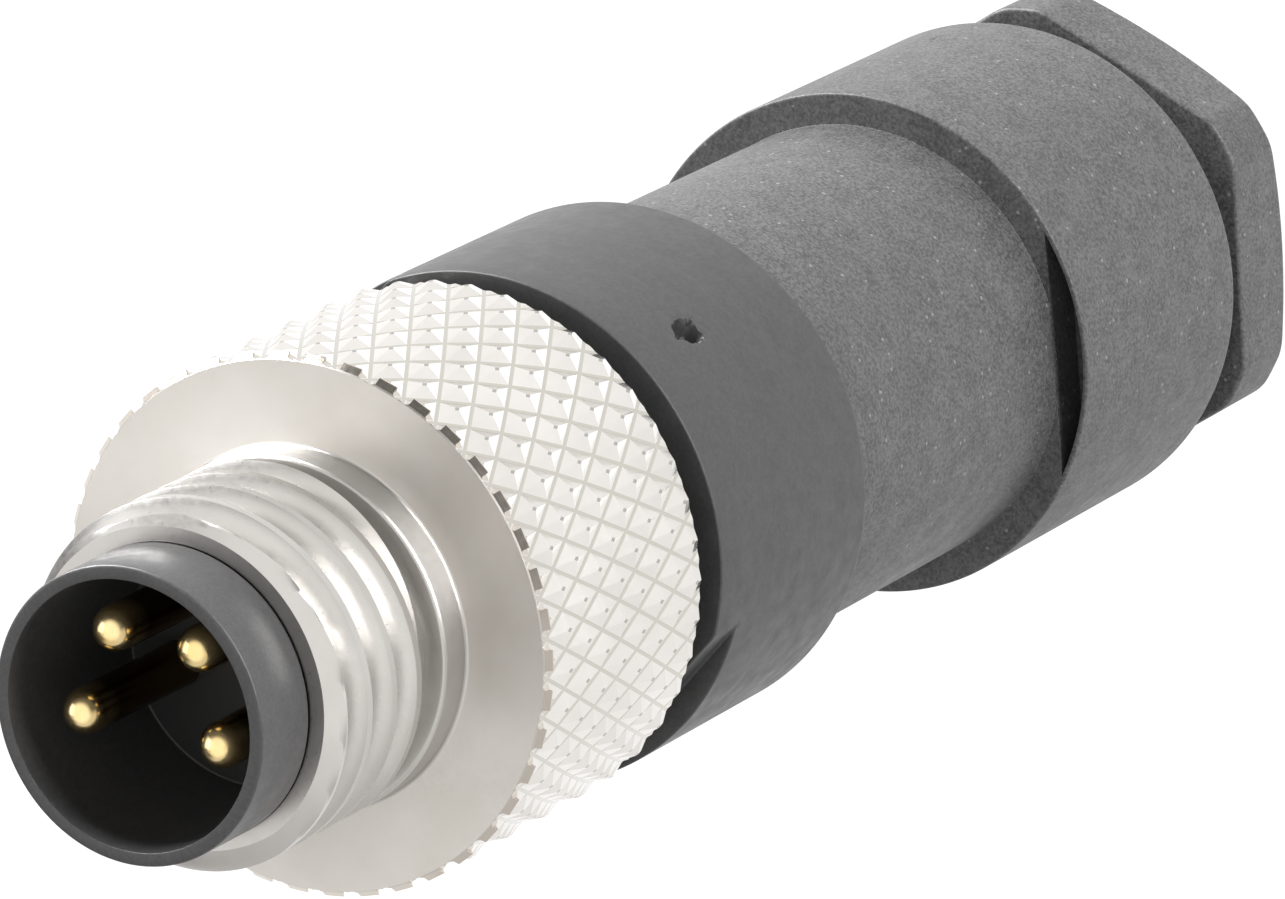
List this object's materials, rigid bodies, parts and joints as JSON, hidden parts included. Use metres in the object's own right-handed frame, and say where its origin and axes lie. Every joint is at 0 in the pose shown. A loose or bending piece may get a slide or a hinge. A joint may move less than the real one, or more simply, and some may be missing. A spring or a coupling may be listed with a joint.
{
  "type": "circular sensor connector",
  "caption": "Straight male M8 sensor connector wired on site: shrouded contacts, knurled coupling screw, screw-off rear housing and a hexagonal pressing screw for the cable.",
  "frame": {"origin": "centre of the rear face of the pressing screw, where the part stands", "axes": "+Z along the connector's axis to the mating face, -Y to the side seen in the picture"},
  "size_m": [0.012, 0.012, 0.0435],
  "materials": {
    "insert_plastic": "moulded black, satin",
    "gold_contact": "gold plated, polished",
    "screw_steel": "zinc plated",
    "front_plastic": "moulded black, smooth satin",
    "seal_rubber": "matt black rubber",
    "nickel": "nickel plated brass, turned and knurled",
    "housing_plastic": "moulded dark grey, glass filled, grainy",
    "clamp_plastic": "moulded natural plastic"
  },
  "bodies": {
    "front": {"contact_insert": "insert_plastic", "contact_pin_1": "gold_contact", "contact_pin_2": "gold_contact", "contact_pin_3": "gold_contact", "contact_pin_4": "gold_contact", "terminal_carrier": "insert_plastic", "terminal_screw_1": "screw_steel", "terminal_screw_2": "screw_steel", "terminal_screw_3": "screw_steel", "terminal_screw_4": "screw_steel", "front_ring": "front_plastic", "stem_seal": "seal_rubber"},
    "coupling": {"coupling_screw": "nickel"},
    "gasket": {"housing_gasket": "seal_rubber"},
    "housing": {"rear_housing": "housing_plastic", "cable_seal": "seal_rubber"},
    "clamp": {"clamp_collet": "clamp_plastic", "thrust_washer": "clamp_plastic"},
    "nut": {"pressing_screw": "housing_plastic"}
  },
  "joints": [
    {"name": "coupling_turn", "type": "hinge", "parent": "front", "child": "coupling", "pos_m": [0, 0, 0.0333], "axis": [0, 0, 1], "continuous": true},
    {"name": "gasket_slide", "type": "slide", "parent": "front", "child": "gasket", "axis": [0, 0, -1], "range_m": [0, 0.0045]},
    {"name": "housing_turn", "type": "hinge", "parent": "gasket", "child": "housing", "pos_m": [0, 0, 0.0132], "axis": [0, 0, -1], "range_deg": [0, 1620]},
    {"name": "clamp_slide", "type": "slide", "parent": "housing", "child": "clamp", "axis": [0, 0, -1], "range_m": [0, 0.0025]},
    {"name": "nut_turn", "type": "hinge", "parent": "clamp", "child": "nut", "pos_m": [0, 0, 0.003], "axis": [0, 0, -1], "range_deg": [0, 900]}
  ],
  "couplings": [
    {"joint": "housing_turn", "follows": "gasket_slide", "rad_per_m": 6283.2},
    {"joint": "nut_turn", "follows": "clamp_slide", "rad_per_m": 6283.2}
  ]
}
